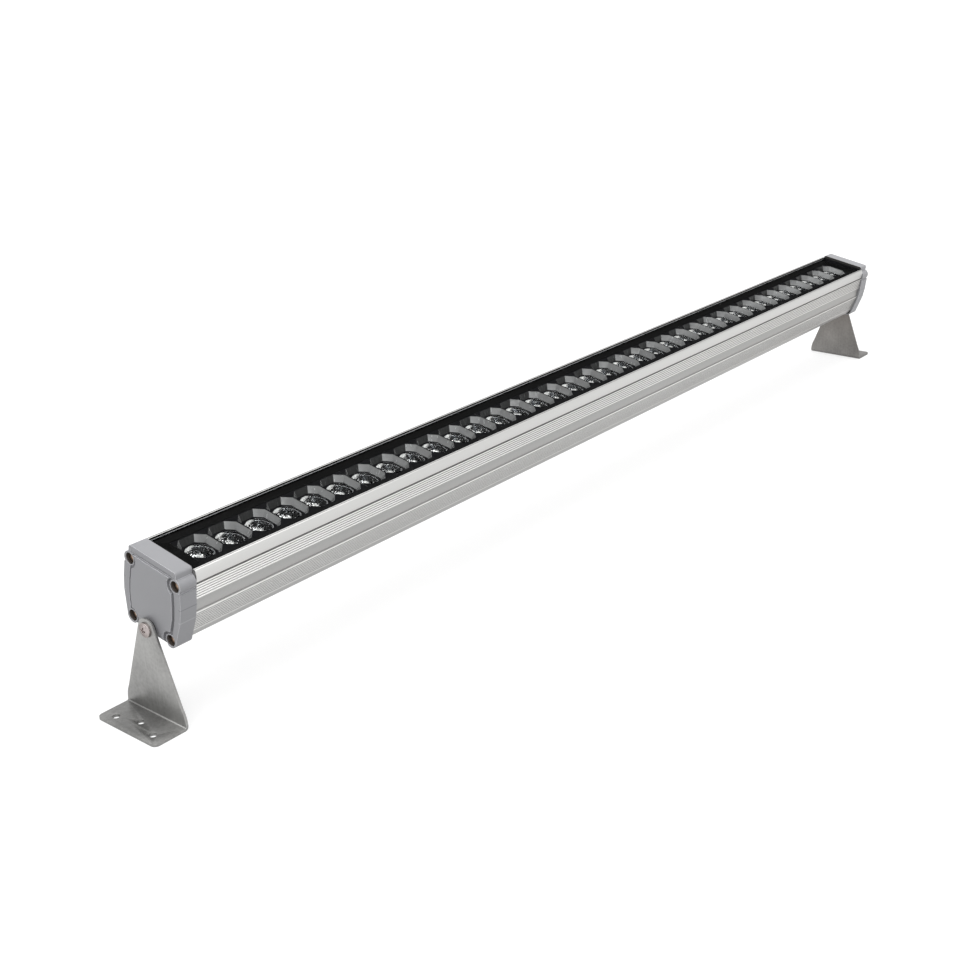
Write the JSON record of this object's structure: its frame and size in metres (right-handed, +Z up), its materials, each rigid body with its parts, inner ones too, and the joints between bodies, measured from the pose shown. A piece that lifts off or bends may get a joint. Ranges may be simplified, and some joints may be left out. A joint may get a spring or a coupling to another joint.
{
  "type": "wall washer light",
  "caption": "Long ribbed aluminium wall washer light with a glass front over a row of octagonal lens cells, grey end caps and two sheet metal feet on which the body tilts.",
  "frame": {"origin": "on the mounting surface under the pivot axis, half way along the lamp", "axes": "+X along the lamp, towards the end with the cable gland; +Z up, away from the mounting surface; the lamp leans towards -Y as stored"},
  "size_m": [1.0616, 0.0655, 0.1209],
  "materials": {
    "anodised_aluminium": "fine satin anodised",
    "front_glass": "clear, polished",
    "seal_silicone": "matt",
    "black_tray_plastic": "fine satin",
    "clear_acrylic": "clear, polished",
    "lamp_phosphor": "satin",
    "white_board": "solder mask",
    "zinc_steel": "zinc plated",
    "driver_potting": "matt",
    "grey_cast_metal": "grey powder coat, fine satin",
    "bronzed_steel": "bronze tinted",
    "insert_brass": "machined",
    "black_nylon": "fine satin",
    "bright_steel": "bright",
    "gland_rubber": "matt",
    "stainless_sheet": "brushed, cut edges bright"
  },
  "bodies": {
    "near_bracket": {"bracket_near": "stainless_sheet"},
    "lamp": {"housing": "anodised_aluminium", "glass_cover": "front_glass", "glass_seal": "seal_silicone", "lens_tray_1": "black_tray_plastic", "lens_tray_2": "black_tray_plastic", "lens_tray_3": "black_tray_plastic", "lens_tray_4": "black_tray_plastic", "lens_tray_5": "black_tray_plastic", "lens_tray_6": "black_tray_plastic", "lens_set_1": "clear_acrylic", "lens_set_2": "clear_acrylic", "lens_set_3": "clear_acrylic", "lens_set_4": "clear_acrylic", "lens_set_5": "clear_acrylic", "lens_set_6": "clear_acrylic", "led_set_1": "lamp_phosphor", "led_set_2": "lamp_phosphor", "led_set_3": "lamp_phosphor", "led_set_4": "lamp_phosphor", "led_set_5": "lamp_phosphor", "led_set_6": "lamp_phosphor", "lamp_board_1": "white_board", "lamp_board_2": "white_board", "lamp_board_3": "white_board", "lamp_board_4": "white_board", "lamp_board_5": "white_board", "lamp_board_6": "white_board", "board_screws": "zinc_steel", "led_driver": "driver_potting", "end_cap_near": "grey_cast_metal", "end_cap_far": "grey_cast_metal", "cap_gasket_near": "seal_silicone", "cap_gasket_far": "seal_silicone", "cap_screws_near": "bronzed_steel", "cap_screws_far": "bronzed_steel", "pivot_insert_near": "insert_brass", "pivot_insert_far": "insert_brass", "pivot_spacer_near": "black_nylon", "pivot_spacer_far": "black_nylon", "pivot_screw_near": "bright_steel", "pivot_screw_far": "bright_steel", "gland_body": "black_nylon", "gland_locknut": "black_nylon", "gland_seal": "gland_rubber", "gland_cap_nut": "black_nylon"},
    "far_bracket": {"bracket_far": "stainless_sheet"}
  },
  "joints": [
    {"name": "tilt", "type": "hinge", "parent": "near_bracket", "child": "lamp", "pos_m": [-0.5038, 0, 0.0654], "axis": [1, 0, 0], "range_deg": [-100.3, 79.7]},
    {"name": "tilt_far", "type": "hinge", "parent": "lamp", "child": "far_bracket", "pos_m": [0.5038, 0, 0.0654], "axis": [1, 0, 0], "range_deg": [-79.7, 100.3]}
  ],
  "couplings": [
    {"joint": "tilt_far", "follows": "tilt", "ratio": -1}
  ]
}
